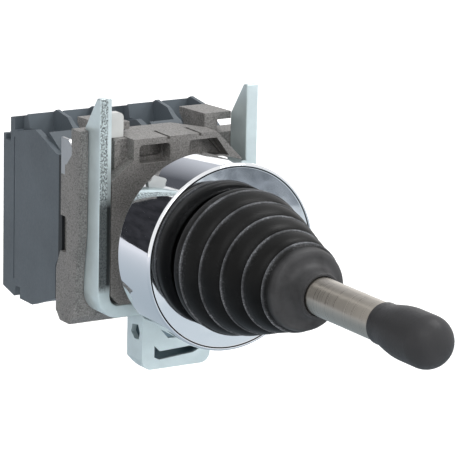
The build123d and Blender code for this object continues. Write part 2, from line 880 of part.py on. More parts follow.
def collar(x0, inner_side, clip_height):
    """Die-cast rear collar that carries two contact blocks."""
    x1 = x0 + collar_width
    front = bracket_back
    outline = [
        (front, collar_bottom + collar_heel), (front + collar_heel, collar_bottom),
        (collar_upper_back, collar_bottom), (collar_back, collar_bottom + collar_heel),
        (collar_back, collar_step_bottom), (collar_upper_back, collar_step_top),
        (collar_upper_back, cheek_top), (collar_upper_back, collar_front_top),
        (front, collar_front_top),
    ]
    body = side_cut(outline, x0, x1)
    cheek = [
        (cheek_front, cheek_low), (cheek_front, cheek_top), (front, collar_front_top),
        (front, strip_top + seat_clearance), (front - cheek_taper, cheek_waist),
    ]
    body += side_cut(cheek, x0, x0 + collar_cheek)
    if inner_side > 0:
        # Ear in front of the clip, where the casting's shelf leaves room
        ear = [
            (cheek_front, cheek_top), (cheek_front, collar_top), (ear_back, collar_top),
            (ear_back, cheek_top),
        ]
        body += side_cut(ear, x0, x0 + collar_cheek)
        body += box(x0, x0 + ear_width, front, ear_back, cheek_top, collar_top)
    # Post with a cover plate over the pocket beside it
    post_x = x0 + post_offset
    plate_bottom = post_top - post_plate
    post = [
        (front, cheek_top), (collar_upper_back, cheek_top), (post_back, plate_bottom),
        (post_back, post_top - post_fall), (front, post_top),
    ]
    body += side_cut(post, post_x, post_x + post_width)
    plate = [
        (front, plate_bottom), (post_back, plate_bottom), (post_back, post_top - post_fall),
        (front, post_top),
    ]
    body += side_cut(plate, post_x, post_x + post_plate_width)
    body += box(
        post_x, post_x + post_plate_width, collar_upper_back - pocket_back_wall, collar_upper_back,
        cheek_top, plate_bottom,
    )
    # Window for the pusher arms, open towards the middle of the assembly
    z = pusher_circle + arm_width / 2 + sweep_clearance
    if inner_side > 0:
        w0, w1 = x0 + collar_cheek, x1 + 1
    else:
        w0, w1 = x0 - 1, x1 - collar_cheek
    body -= box(w0, w1, cheek_front - 1, window_back, -z, z)
    # Holes for the plunger heads
    for column in columns.values():
        if x0 < column < x1:
            hole = plunger_radius + sweep_clearance
            body -= rod_y(hole, window_back - 1, collar_back + 1, column)
    # Seat for the clip and a round-ended recess in the flank's rear edge
    body -= collar_clip(x0, clip_height)
    recess = box(
        x0 - 1, x0 + collar_cheek / 2, collar_upper_back - flank_recess_depth, collar_back + 1,
        -flank_recess_half, flank_recess_half,
    )
    ends = recess.edges().filter_by(Axis.X).group_by(Axis.Y)[0]
    body -= fillet(ends, collar_cheek / 2)
    return body


def collar_clip(x0, top):
    """Spring-steel hook plate let into the collar's flank, with a short tail."""
    hook = [
        (collar_upper_back, top), (clip_front + clip_corner, top), (clip_front, top - clip_corner),
        (clip_front, top - clip_side), (collar_upper_back - clip_toe, clip_hook_bottom),
        (collar_upper_back - clip_tail_width, clip_hook_bottom),
        (collar_upper_back - clip_tail_width, clip_tail_bottom),
        (collar_upper_back, clip_tail_bottom),
    ]
    return side_cut(hook, x0, x0 + clip_sheet)


def fixed_parts():
    """Every node of the housing."""
    nodes = {
        "bezel_ring": bezel_ring(),
        "head_body": head_body(),
        "panel_gasket": panel_gasket(),
        "bellows": bellows(),
        "return_spring": return_spring(),
        "body_casting": body_casting(),
        "mounting_bracket": mounting_bracket(),
        "leg_stop": leg_stop(),
        "clamp_stirrup": clamp_stirrup(),
        "clamp_screws": clamp_screws(),
        "left_collar": collar(left_collar_x, 1, clip_top),
        "right_collar": collar(right_collar_x, -1, collar_front_top),
        "left_collar_clip": collar_clip(left_collar_x, clip_top),
        "right_collar_clip": collar_clip(right_collar_x, collar_front_top),
        "fixed_contacts": fixed_contacts(),
        "terminal_clamps": terminal_clamps(),
        "terminal_screws": terminal_screws(),
    }
    for name, column in columns.items():
        nodes[name + "_contact_block"] = contact_block(column)
        nodes[name + "_plunger_spring"] = plunger_spring(column)
    return nodes


def moving_parts():
    """Every node that moves with the lever."""
    nodes = {
        "gimbal_ring": gimbal_ring(),
        "gimbal_pins": gimbal_pins(),
        "lever_rod": lever_rod(),
        "lever_pin": lever_pin(),
        "rocker_plate": rocker_plate(),
        "spring_seat": spring_seat(),
        "knob": knob(),
    }
    for name, column in columns.items():
        nodes[name + "_pusher"] = pusher(name)
        nodes[name + "_plunger"] = plunger(column)
        nodes[name + "_contact_bridge"] = contact_bridge(column)
    return nodes


os.makedirs("parts", exist_ok=True)
for node, shape in {**fixed_parts(), **moving_parts()}.items():
    export_step(shape, f"parts/{node}.step")
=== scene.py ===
"""Dresses a panel-mounted joystick: finishes, rubber boot, polished ring and studio."""

import math

import bmesh
import bpy
import numpy as np
from mathutils import Matrix, Vector


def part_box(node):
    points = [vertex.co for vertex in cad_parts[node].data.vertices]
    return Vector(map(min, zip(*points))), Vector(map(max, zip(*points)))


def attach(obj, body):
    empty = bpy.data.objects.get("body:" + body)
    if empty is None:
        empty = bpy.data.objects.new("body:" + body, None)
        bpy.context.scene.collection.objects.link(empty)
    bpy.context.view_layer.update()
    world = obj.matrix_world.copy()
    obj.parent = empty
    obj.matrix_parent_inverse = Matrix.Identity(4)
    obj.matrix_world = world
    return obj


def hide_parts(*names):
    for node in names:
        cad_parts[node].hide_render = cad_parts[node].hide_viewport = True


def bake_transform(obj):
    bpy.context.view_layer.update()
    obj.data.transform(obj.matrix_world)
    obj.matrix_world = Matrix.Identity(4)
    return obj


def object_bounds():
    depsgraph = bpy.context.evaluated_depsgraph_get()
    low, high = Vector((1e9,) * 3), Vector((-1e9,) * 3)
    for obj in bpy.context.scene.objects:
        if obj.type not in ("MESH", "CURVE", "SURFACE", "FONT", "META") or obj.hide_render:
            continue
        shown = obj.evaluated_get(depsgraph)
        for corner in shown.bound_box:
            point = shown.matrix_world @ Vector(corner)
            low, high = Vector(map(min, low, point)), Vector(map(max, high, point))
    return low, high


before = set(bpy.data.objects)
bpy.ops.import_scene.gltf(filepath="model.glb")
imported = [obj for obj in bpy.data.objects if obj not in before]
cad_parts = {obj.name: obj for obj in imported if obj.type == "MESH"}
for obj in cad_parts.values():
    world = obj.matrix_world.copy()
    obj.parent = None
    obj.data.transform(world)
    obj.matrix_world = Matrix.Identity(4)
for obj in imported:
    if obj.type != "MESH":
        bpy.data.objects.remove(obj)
cad_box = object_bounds()

bl_info = {
    "name": "Panel joystick",
    "version": (1, 0, 0),
    "blender": (4, 5, 0),
    "location": "View3D > Sidebar > Joystick",
    "description": "Builds the finished surfaces of a panel-mounted joystick",
    "category": "Add Mesh",
}

MM = 0.001
X, Y, Z = range(3)
SIDES = ("up", "left", "right", "down")

# Meshes: facets round a turned piece, the distances in metres at which points are joined,
# an edge is dropped and a node's points are welded, and the angle from which an edge is sharp.
RING_SEGMENTS = 192
TOUCHING = 1e-7
COLLAPSED = 1e-8
WELDED = 1e-6
SHARP = math.radians(28)

# Finishes: a limit between two of them is once or twice this wide, in metres.
SOFT = 0.1 * MM

# Boot, in millimetres: a lip's guide points, outwards and to the rear of its rim, how far a
# valley lies inwards and to the rear of the next rim, and how far the dust on a rim reaches.
LIP = ((-0.32, 0.50), (0.0, 0.22), (0.0, -0.12), (-0.36, -0.36))
VALLEY = (2.2, 0.90)
RIM_REACH = 0.42

# Studio: inner and outer radius of the flags in metres, points along each of their arcs, and
# the width of the camera's sensor in millimetres.
FLAG_SPAN = (0.15, 0.62)
FLAG_POINTS = 24
SENSOR = 36.0


class Field:
    """A socket of a node tree that takes part in Python arithmetic."""

    def __init__(self, nodes, socket):
        self.nodes = nodes
        self.socket = socket

    def __add__(self, other):
        return self.nodes.maths("ADD", self, other)

    def __mul__(self, other):
        return self.nodes.maths("MULTIPLY", self, other)

    def __pow__(self, other):
        return self.nodes.maths("POWER", self, other)

    def __rpow__(self, other):
        return self.nodes.maths("POWER", other, self)

    def __abs__(self):
        return self.nodes.maths("ABSOLUTE", self, 0.0)

    __radd__ = __add__
    __rmul__ = __mul__


class Nodes:
    """A node tree and the ways in which its nodes are added and joined."""

    def __init__(self, tree):
        self.tree = tree

    def feed(self, socket, value):
        """Links a field to a socket, or sets the socket's own value."""
        if isinstance(value, Field):
            self.tree.links.new(value.socket, socket)
        else:
            socket.default_value = value

    def add(self, kind, settings=None, values=None, output=0):
        """Adds a node, sets it up, feeds its inputs and returns one output."""
        node = self.tree.nodes.new(kind)
        for key, value in (settings or {}).items():
            setattr(node, key, value)
        for key, value in (values or {}).items():
            self.feed(node.inputs[key], value)
        return Field(self, node.outputs[output])

    def maths(self, operation, first, second):
        """One arithmetic node on two numbers or fields."""
        return self.add("ShaderNodeMath", {"operation": operation}, {0: first, 1: second})

    def between(self, value, low, high, to_low=0.0, to_high=1.0):
        """Maps a value from one range to another and holds it there."""
        values = {0: value, 1: low, 2: high, 3: to_low, 4: to_high}
        return self.add("ShaderNodeMapRange", {"clamp": True}, values)

    def seen(self):
        """One for rays from the camera, mirrored or let through, else nothing."""
        rays = ("Is Camera Ray", "Is Glossy Ray", "Is Transmission Ray")
        camera, glossy, through = (self.add("ShaderNodeLightPath", output=ray) for ray in rays)
        return self.maths("MAXIMUM", self.maths("MAXIMUM", camera, glossy), through)


class Finish(Nodes):
    """One material and the nodes that make its colour, roughness and relief."""

    def __init__(self, name, colour, roughness, metallic=0.0):
        self.material = bpy.data.materials.new(name)
        self.material.use_nodes = True
        super().__init__(self.material.node_tree)
        self.shader = self.tree.nodes["Principled BSDF"]
        self.set("Base Color", (*colour, 1.0))
        self.set("Roughness", roughness)
        self.set("Metallic", metallic)
        self.place = self.add("ShaderNodeTexCoord", output="Object")

    def set(self, name, value):
        """Feeds one of the shader's sockets."""
        self.feed(self.shader.inputs[name], value)

    def stretched(self, scale):
        """Object coordinates times a scale along each axis."""
        values = {0: self.place, 1: scale}
        return self.add("ShaderNodeVectorMath", {"operation": "MULTIPLY"}, values)

    def noise(self, per_metre, detail=3.0, rough=0.55, place=None):
        """Cloudy values about 0.5, finer with more detail and harsher with more rough."""
        values = {"Vector": place or self.place, "Scale": per_metre}
        values.update({"Detail": detail, "Roughness": rough})
        return self.add("ShaderNodeTexNoise", {"noise_dimensions": "3D"}, values)

    def blend(self, factor, first, second):
        """Colour that goes from first to second as factor rises."""
        first, second = (
            (*colour, 1.0) if isinstance(colour, tuple) else colour for colour in (first, second)
        )
        values = {0: factor, 6: first, 7: second}
        return self.add("ShaderNodeMix", {"data_type": "RGBA"}, values, output=2)

    def facing(self, axis):
        """The surface normal's part along one axis."""
        normal = self.add("ShaderNodeNewGeometry", output="Normal")
        return self.add("ShaderNodeSeparateXYZ", None, {0: normal}, output=axis)

    def along(self, axis):
        """The place along one axis, in metres."""
        return self.add("ShaderNodeSeparateXYZ", None, {0: self.place}, output=axis)

    def past(self, axis, start, end):
        """Goes from 0 to 1 as the place along one axis goes from start to end."""
        return self.between(self.along(axis), start, end)

    def away(self):
        """The distance from the piece's own origin, in metres."""
        settings = {"operation": "LENGTH"}
        return self.add("ShaderNodeVectorMath", settings, {0: self.place}, output=1)

    def relief(self, height, distance, strength):
        """Bumps the surface by a height from 0 to 1 that stands for a distance in metres."""
        values = {"Height": height, "Distance": distance, "Strength": strength}
        self.set("Normal", self.add("ShaderNodeBump", None, values, output="Normal"))


def scaled(colour, share):
    """A colour with each of its parts times a share."""
    return tuple(value * share for value in colour)


def chrome_finish():
    """Mirror chrome, very slightly uneven, with a faint haze."""
    finish = Finish("polished_chrome", (0.83, 0.845, 0.87), 0.05, 1.0)
    haze = finish.noise(260.0, 4.0)
    finish.set("Roughness", finish.between(haze, 0.35, 0.75, 0.03, 0.09))
    finish.relief(finish.noise(110.0, 2.0), 0.05 * MM, 0.5)
    return finish.material


def cast_finish(tint):
    """Grey die-cast zinc: matt and grainy, faintly blotched, with dark specks."""
    finish = Finish("die_cast_zinc", tint, 0.5, 0.35)
    finish.set("Specular IOR Level", 0.35)
    blotch = finish.noise(170.0, 4.0, 0.6)
    grain = finish.noise(3000.0, 3.0, 0.65)
    speck = finish.between(finish.noise(2100.0, 2.0), 0.54, 0.64)
    cloud = finish.between(blotch, 0.34, 0.68)
    mottled = finish.blend(cloud, scaled(tint, 0.78), scaled(tint, 1.16))
    grained = finish.blend(finish.between(grain, 0.42, 0.64) * 0.6, mottled, scaled(tint, 2.0))
    finish.set("Base Color", finish.blend(speck * 0.5, grained, scaled(tint, 0.35)))
    finish.set("Roughness", finish.between(blotch, 0.3, 0.7, 0.42, 0.60))
    finish.relief(grain + blotch * 0.3, 0.14 * MM, 0.7)
    return finish.material


def plated_finish(name, tint):
    """Bright zinc plating: faintly cloudy, with fine rolling marks.

    It returns the finish and the plating's colour, which the caller puts on the shader.
    """
    finish = Finish(name, tint, 0.3, 0.55)
    cloud = finish.noise(150.0, 4.0, 0.6)
    finish.set("Roughness", finish.between(cloud, 0.3, 0.7, 0.28, 0.42))
    finish.relief(finish.noise(2400.0, 2.0), 0.02 * MM, 0.5)
    return finish, finish.blend(finish.between(cloud, 0.3, 0.7), scaled(tint, 0.86), tint)


def sheared_finish(tint, line, bend):
    """Zinc plating with a pitted, sheared band on the left leg's front edge.

    The band lies outside x = line and above z = bend, where the surface faces the front.
    Between z = -10 and 8.5 mm painted shade darkens the band, and darkens the edge inside the line
    almost to black.
    """
    finish, plated = plated_finish("zinc_plated_bracket", tint)
    frontal = finish.between(finish.facing(Y), -0.80, -0.95)
    edge = frontal * finish.past(X, 0.0, -1.0 * MM) * finish.past(Z, bend, bend + 2.0 * MM)
    band = edge * finish.past(X, line + SOFT, line - SOFT)
    torn = finish.noise(2600.0, 4.0, 0.7, finish.stretched((1.0, 1.0, 0.7)))
    pits = finish.between(torn, 0.40, 0.58)
    # Painted shade: the front edge is darker from z = -10 to 8.5 mm, fading out by -14 and 11.5
    # mm.
    painted_shade = finish.past(Z, 11.5 * MM, 8.5 * MM) * finish.past(Z, -14.0 * MM, -10.0 * MM)
    shade_painted_tint = finish.blend(painted_shade, tint, scaled(tint, 0.22))
    sheared = finish.blend(pits, scaled(tint, 0.11), shade_painted_tint)
    # Painted shade also darkens the edge inside the line, almost to black.
    inner = finish.blend(edge * painted_shade, plated, scaled(tint, 0.08))
    finish.set("Base Color", finish.blend(band, inner, sheared))
    finish.relief(pits * band, 0.2 * MM, 0.7)
    return finish.material


def stirrup_finish(tint, low, high, gauge):
    """Zinc plating with painted shade, dull and dark, inside the channel and in its leaf-shaped
    dent.

    The hollow is the box from low to high less about one gauge of sheet on each side.
    """
    finish, plated = plated_finish("zinc_plated_stirrup", tint)
    front, rear = low[Y] + 0.4 * gauge, high[Y] - 0.8 * gauge
    side, bottom = high[X] - 0.9 * gauge, low[Z] + 0.9 * gauge
    hollow = finish.past(Y, front, front + SOFT) * finish.past(Y, rear, rear - SOFT)
    hollow = hollow * finish.between(abs(finish.along(X)), side, side - SOFT)
    hollow = hollow * finish.past(Z, bottom, bottom + SOFT)
    # Painted shade: the hollow is darkened where shade falls inside the channel.
    finish.set("Base Color", finish.blend(hollow, plated, (0.24, 0.32, 0.36)))
    return finish.material


def satin_finish(tint):
    """Turned steel with a warm satin sheen and fine rings round it."""
    finish = Finish("satin_steel", tint, 0.3, 1.0)
    rings = finish.noise(500.0, 2.0, 0.5, finish.stretched((0.05, 6.0, 0.05)))
    finish.set("Roughness", finish.between(rings, 0.3, 0.7, 0.24, 0.38))
    share = finish.between(rings, 0.3, 0.7)
    finish.set("Base Color", finish.blend(share, scaled(tint, 0.86), tint))
    finish.relief(rings, 0.02 * MM, 0.5)
    return finish.material


def plastic_finish(name, tint, roughness, grains_per_metre, gloss=0.3, covered=None):
    """Moulded plastic: faint colour drift and a spark-eroded grain.

    It has painted shade in front of the depth covered, where another piece surrounds it.
    """
    finish = Finish(name, tint, roughness)
    finish.set("Specular IOR Level", gloss)
    drift = finish.between(finish.noise(60.0, 3.0), 0.35, 0.65)
    grain = finish.noise(grains_per_metre, 2.0)
    colour = finish.blend(drift, scaled(tint, 0.90), scaled(tint, 1.08))
    if covered is not None:
        # Painted shade: near black in front of the covered depth.
        inside = finish.past(Y, covered, covered - 2 * SOFT)
        colour = finish.blend(inside, colour, scaled(tint, 0.12))
    finish.set("Base Color", colour)
    finish.set("Roughness", finish.between(grain, 0.3, 0.7, roughness - 0.06, roughness + 0.06))
    finish.relief(grain, 0.06 * MM, 0.5)
    return finish.material


def rubber_finish():
    """Soft black rubber: pale dusty rims, as the rim attribute says, and a greyer front end
    of dust and painted sheen.
    """
    finish = Finish("black_rubber", (0.005, 0.005, 0.005), 0.42)
    finish.set("Specular IOR Level", 0.13)
    cloud = finish.noise(140.0, 4.0, 0.6)
    rim = finish.add("ShaderNodeAttribute", {"attribute_name": "rim"}, output="Fac")
    drift = finish.between(cloud, 0.35, 0.7)
    black = finish.blend(drift, (0.003, 0.003, 0.003), (0.007, 0.007, 0.007))
    # The front end is greyer: partly dust, partly a painted sheen for light from the front.
    end = finish.past(Y, -45.5 * MM, -47.5 * MM)
    dust_and_painted_sheen = end * finish.between(cloud, 0.30, 0.62, 0.45, 1.0)
    black = finish.blend(dust_and_painted_sheen, black, (0.064, 0.064, 0.066))
    speck = finish.between(finish.noise(2600.0, 3.0, 0.7), 0.50, 0.66)
    dust = finish.between(cloud, 0.38, 0.62, 0.45, 1.0) * finish.between(speck, 0.0, 1.0, 0.5, 1.0)
    worn = rim * dust + rim**0.12 * speck * finish.between(cloud, 0.40, 0.64) * 0.42
    finish.set("Base Color", finish.blend(worn, black, (0.26, 0.27, 0.29)))
    finish.set("Roughness", finish.between(cloud, 0.3, 0.7, 0.38, 0.52))
    finish.relief(finish.noise(3200.0, 2.0), 0.05 * MM, 0.6)
    return finish.material


def metal_finish(name, tint, roughness):
    """Small metal parts with light handling marks."""
    finish = Finish(name, tint, roughness, 1.0)
    marks = finish.noise(700.0, 4.0, 0.6)
    finish.set("Roughness", finish.between(marks, 0.3, 0.7, roughness - 0.05, roughness + 0.08))
    finish.relief(marks, 0.03 * MM, 0.4)
    return finish.material


def rounded_loop(points, cuts, steps):
    """Replaces each corner of a closed outline by a quadratic curve.

    Corner P with neighbours A and B becomes S(1-t)^2 + 2Pt(1-t) + Et^2, where S and E lie
    on PA and PB at the corner's own cut from P, at most about half of each side away.
    """
    corners = np.asarray(points, float)
    before = np.roll(corners, 1, axis=0) - corners
    after = np.roll(corners, -1, axis=0) - corners
    length_before = np.linalg.norm(before, axis=1)
    length_after = np.linalg.norm(after, axis=1)
    cut = np.minimum(cuts, 0.49 * np.minimum(length_before, length_after))
    start = (corners + before * (cut / length_before)[:, None])[:, None]
    end = (corners + after * (cut / length_after)[:, None])[:, None]
    t = np.linspace(0, 1, steps)[None, :, None]
    curve = start * (1 - t) ** 2 + 2 * corners[:, None] * t * (1 - t) + end * t**2
    return curve.reshape(-1, 2)


def smoothed(points):
    """Rounds an open line: each of two passes cuts every side at a quarter and three quarters.

    The ends stay, and the line nears a quadratic B-spline on its points.
    """
    line = np.asarray(points, float)
    for _ in range(2):
        near = 0.75 * line[:-1] + 0.25 * line[1:]
        far = 0.25 * line[:-1] + 0.75 * line[1:]
        cut = np.stack((near, far), axis=1).reshape(-1, 2)
        line = np.concatenate((line[:1], cut, line[-1:]))
    return line


def turned(radius, depth, angle):
    """Points (r cos a, depth, r sin a): a row for each radius and a column for each angle."""
    x = radius[:, None] * np.cos(angle)
    z = radius[:, None] * np.sin(angle)
    y = np.broadcast_to(np.reshape(depth, (-1, 1)), x.shape)
    return np.stack((x, y, z), axis=-1).reshape(-1, 3)


def placed(name, data):
    """Makes an object from its data and puts it in the scene."""
    thing = bpy.data.objects.new(name, data)
    bpy.context.scene.collection.objects.link(thing)
    return thing


def turned_piece(name, outline):
    """Turns a closed (radius, depth) outline in millimetres round the lever's axis.

    A point at radius r and angle a is (r cos a, depth, r sin a).
    """
    radius, depth = np.asarray(outline, float).T
    angle = np.linspace(0, 2 * math.pi, RING_SEGMENTS, endpoint=False)
    i, j = np.meshgrid(np.arange(len(radius)), np.arange(RING_SEGMENTS), indexing="ij")
    below, beside = (i + 1) % len(radius), (j + 1) % RING_SEGMENTS
    corners = ((i, j), (i, beside), (below, beside), (below, j))
    faces = np.stack([row * RING_SEGMENTS + column for row, column in corners], axis=-1)
    return solid_piece(name, turned(radius, depth, angle) * MM, faces.reshape(-1, 4))


def solid_piece(name, places, faces, smooth=True):
    """Makes a closed mesh, joins its doubled points and turns its faces outwards."""
    mesh = bpy.data.meshes.new(name)
    mesh.from_pydata(places.tolist(), [], faces.tolist())
    work = bmesh.new()
    work.from_mesh(mesh)
    bmesh.ops.remove_doubles(work, verts=work.verts, dist=TOUCHING)
    bmesh.ops.dissolve_degenerate(work, edges=work.edges, dist=COLLAPSED)
    bmesh.ops.recalc_face_normals(work, faces=work.faces)
    work.to_mesh(mesh)
    work.free()
    mesh.polygons.foreach_set("use_smooth", np.full(len(mesh.polygons), smooth))
    return placed(name, mesh)


def folded_strip(name, line, gauge, half):
    """Sheet strip along X: an open (depth, height) line carried from -half to half.

    The strip's other face is the line moved by the gauge along (dz, -dy) / |(dy, dz)|,
    where (dy, dz) is the run of the line at each point, averaged over its two sides.
    """
    path = np.asarray(line, float)
    run = np.gradient(path, axis=0)
    normal = np.stack((run[:, 1], -run[:, 0]), axis=1) / np.linalg.norm(run, axis=1)[:, None]
    loop = np.concatenate((path, (path + normal * gauge)[::-1]))
    count = len(loop)
    places = np.concatenate([np.column_stack((np.full(count, x), loop)) for x in (-half, half)])
    i = np.arange(count)
    sides = np.stack((i, (i + 1) % count, (i + 1) % count + count, i + count), axis=-1)
    last = np.arange(len(path) - 1)
    caps = np.stack((last, last + 1, count - 2 - last, count - 1 - last), axis=-1)
    return solid_piece(name, places, np.concatenate((sides, caps, caps + count)), smooth=False)


def dress(piece, material):
    """Gives a piece one material."""
    piece.data.materials.clear()
    piece.data.materials.append(material)


def stands_for(piece, material, body, node):
    """Finishes a piece that replaces a node and moves with its body."""
    dress(piece, material)
    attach(piece, body)
    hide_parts(node)


def soften(node, width, steps=2):
    """Joins a node's triangles and rounds its sharp edges."""
    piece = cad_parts[node]
    weld = piece.modifiers.new("weld", "WELD")
    weld.merge_threshold = WELDED
    bevel = piece.modifiers.new("edges", "BEVEL")
    bevel.width = width
    bevel.segments = steps
    bevel.limit_method = "ANGLE"
    bevel.angle_limit = SHARP
    return piece


def radius_of(node):
    """Outer radius of a node that is turned round the lever's axis, in millimetres."""
    low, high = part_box(node)
    return (high[Z] - low[Z]) / 2 / MM


def front_of(node):
    """Depth of a node's front end in millimetres."""
    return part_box(node)[0][Y] / MM


def back_of(node):
    """Depth of a node's rear end in millimetres."""
    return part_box(node)[1][Y] / MM


class JoystickSizes(bpy.types.PropertyGroup):
    """Sizes of the modelled pieces."""

    bezel_rear_radius: bpy.props.FloatProperty(
        name="Bezel rear radius", description="Outer radius of the ring at the panel",
        default=22.0 * MM, unit="LENGTH",
    )
    bezel_mouth_radius: bpy.props.FloatProperty(
        name="Bezel mouth radius", description="Radius where the front face meets the boot",
        default=15.0 * MM, unit="LENGTH",
    )
    rim_radii: bpy.props.FloatVectorProperty(
        name="Boot rim radii", description="Radius of each rim of the boot, rear to front",
        default=[value * MM for value in (17.3, 15.8, 13.9, 12.0, 10.5)], size=5, unit="LENGTH",
    )
    rim_distances: bpy.props.FloatVectorProperty(
        name="Boot rim distances", description="Distance of each rim in front of the panel",
        default=[value * MM for value in (20.2, 26.4, 32.6, 38.8, 44.8)], size=5, unit="LENGTH",
    )
    edge_radius: bpy.props.FloatProperty(
        name="Moulded edge", description="Edge rounding of moulded pieces",
        default=0.22 * MM, unit="LENGTH",
    )


class JoystickColours(bpy.types.PropertyGroup):
    """Colours of the main finishes."""

    casting: bpy.props.FloatVectorProperty(
        name="Die-cast zinc", description="Colour of the castings",
        subtype="COLOR", size=3, default=(0.205, 0.199, 0.192),
    )
    plating: bpy.props.FloatVectorProperty(
        name="Zinc plating", description="Colour of the bracket and stirrup",
        subtype="COLOR", size=3, default=(0.72, 0.825, 0.84),
    )
    housing: bpy.props.FloatVectorProperty(
        name="Contact blocks", description="Colour of the contact blocks",
        subtype="COLOR", size=3, default=(0.098, 0.118, 0.136),
    )
    rod: bpy.props.FloatVectorProperty(
        name="Lever rod", description="Colour of the steel rod",
        subtype="COLOR", size=3, default=(0.47, 0.435, 0.385),
    )


class JOYSTICK_OT_bezel(bpy.types.Operator):
    """Build the polished ring with its sunk front face."""

    bl_idname = "joystick.bezel"
    bl_label = "Polished bezel"

    def execute(self, context):
        sizes = context.scene.joystick_sizes
        rear = sizes.bezel_rear_radius / MM
        mouth = sizes.bezel_mouth_radius / MM
        rim = radius_of("bezel_ring")
        front = front_of("bezel_ring")
        wall, web, sunk = 1.6, 1.4, 1.6
        face = front + sunk
        outline = [
            (rear - wall, 0.0), (rear, 0.0), (rim, front + 0.5), (rim - 0.40, front),
            (rim - 0.70, front), (rim - 0.95, front + 0.30), (mouth + 1.2, front + 0.10),
            (mouth, face), (mouth, face + web), (rear - wall, face + web),
        ]
        cuts = [0.2, 0.3, 0.35, 0.14, 0.14, 0.15, 0.9, 0.4, 0.2, 0.2]
        ring = turned_piece("bezel_shell", rounded_loop(outline, cuts, 7))
        stands_for(ring, chrome_finish(), "housing", "bezel_ring")
        return {"FINISHED"}


def lip_points(distance, radius):
    """Guide points of the thin lip on a rim at this distance and radius."""
    return [(radius + across, along - distance) for across, along in LIP]


def fold_points(distance, radius, next_distance, next_radius):
    """Guide points of one fold: a thin lip, a groove, a full slope and a narrow valley."""
    gap, fall = next_distance - distance, radius - next_radius
    return lip_points(distance, radius) + [
        (radius - 0.26 - 0.10 * fall, -0.25 * gap - distance),
        (radius - 0.35 - 0.50 * fall, -0.60 * gap - distance),
        (next_radius - 0.85, 1.30 - next_distance),
        (next_radius - VALLEY[0], VALLEY[1] - next_distance),
    ]


def mark_rims(piece, distances, radii):
    """Stores how near each point is to a rim: exp(-(d / reach)^2), d from the nearest rim."""
    places = np.empty(len(piece.data.vertices) * 3, np.float32)
    piece.data.vertices.foreach_get("co", places)
    x, y, z = places.reshape(-1, 3).T / MM
    across = np.hypot(x, z)[:, None] - radii[None, :]
    along = y[:, None] + distances[None, :]
    away = np.hypot(across, along).min(axis=1)
    rim = piece.data.attributes.new("rim", "FLOAT", "POINT")
    rim.data.foreach_set("value", np.exp(-((away / RIM_REACH) ** 2)).astype(np.float32))


class JOYSTICK_OT_boot(bpy.types.Operator):
    """Build the ridged rubber boot in two halves that meet in a fold."""

    bl_idname = "joystick.boot"
    bl_label = "Rubber boot"

    def execute(self, context):
        sizes = context.scene.joystick_sizes
        distances = np.array(sizes.rim_distances) / MM
        radii = np.array(sizes.rim_radii) / MM
        wall, face = 1.1, 47.9
        neck = sizes.bezel_mouth_radius / MM - 0.2
        rod = radius_of("lever_rod")
        base = back_of("bellows") - 0.2
        end = -front_of("bellows")
        following = zip(distances, radii, distances[1:], radii[1:])
        folds = [fold_points(*numbers) for numbers in following]
        first, widest = distances[0], radii[0]
        last, top = distances[-1], radii[-1]
        throat = [
            (neck, base), (neck, 5.4 - first), (widest - 1.6, 3.9 - first),
            (widest - 0.15, 3.0 - first), (widest - 0.10, 1.4 - first),
        ]
        bulb = lip_points(last, top) + [
            (top - 0.85, -0.9 - last), (top - 0.80, -1.6 - last), (top - 0.95, 0.6 - face),
            (top - 1.3, -0.2 - face), (top - 2.1, -0.6 - face), (top - 3.1, -0.55 - face),
            (rod + 2.0, -0.9 - face), (rod + 1.1, -2.2 - face), (rod + 0.85, 0.9 - end),
            (rod + 0.6, 0.5 - end), (rod + 0.2, 0.5 - end),
        ]
        # The outside is smoothed from guide points, and the inside runs straight from low to low.
        rear_guide = throat + folds[0]
        front_guide = rear_guide[-1:] + folds[1] + folds[2] + folds[3] + bulb
        inside, ahead = VALLEY[0] + wall, VALLEY[1]
        lows = [(radius - inside, ahead - depth) for radius, depth in zip(radii, distances)]
        inner = {
            "boot_rear": [
                lows[1], (widest - 0.5, 0.4 - first), (widest - 0.5, 2.4 - first),
                (neck - 0.6, 4.6 - first), (neck - 0.6, base),
            ],
            "boot_front": [(rod + 0.2, 1.6 - face), (top - inside, 2.4 - face)] + lows[4:0:-1],
        }
        material = rubber_finish()
        halves = {}
        for name, guide in (("boot_rear", rear_guide), ("boot_front", front_guide)):
            outline = np.concatenate((smoothed(guide), np.array(inner[name])))
            halves[name] = turned_piece(name, outline)
            mark_rims(halves[name], distances, radii)
            dress(halves[name], material)
        seam = rear_guide[-1][1] * MM
        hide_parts("bellows")
        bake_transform(halves["boot_rear"])
        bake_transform(halves["boot_front"])
        return {"FINISHED"}


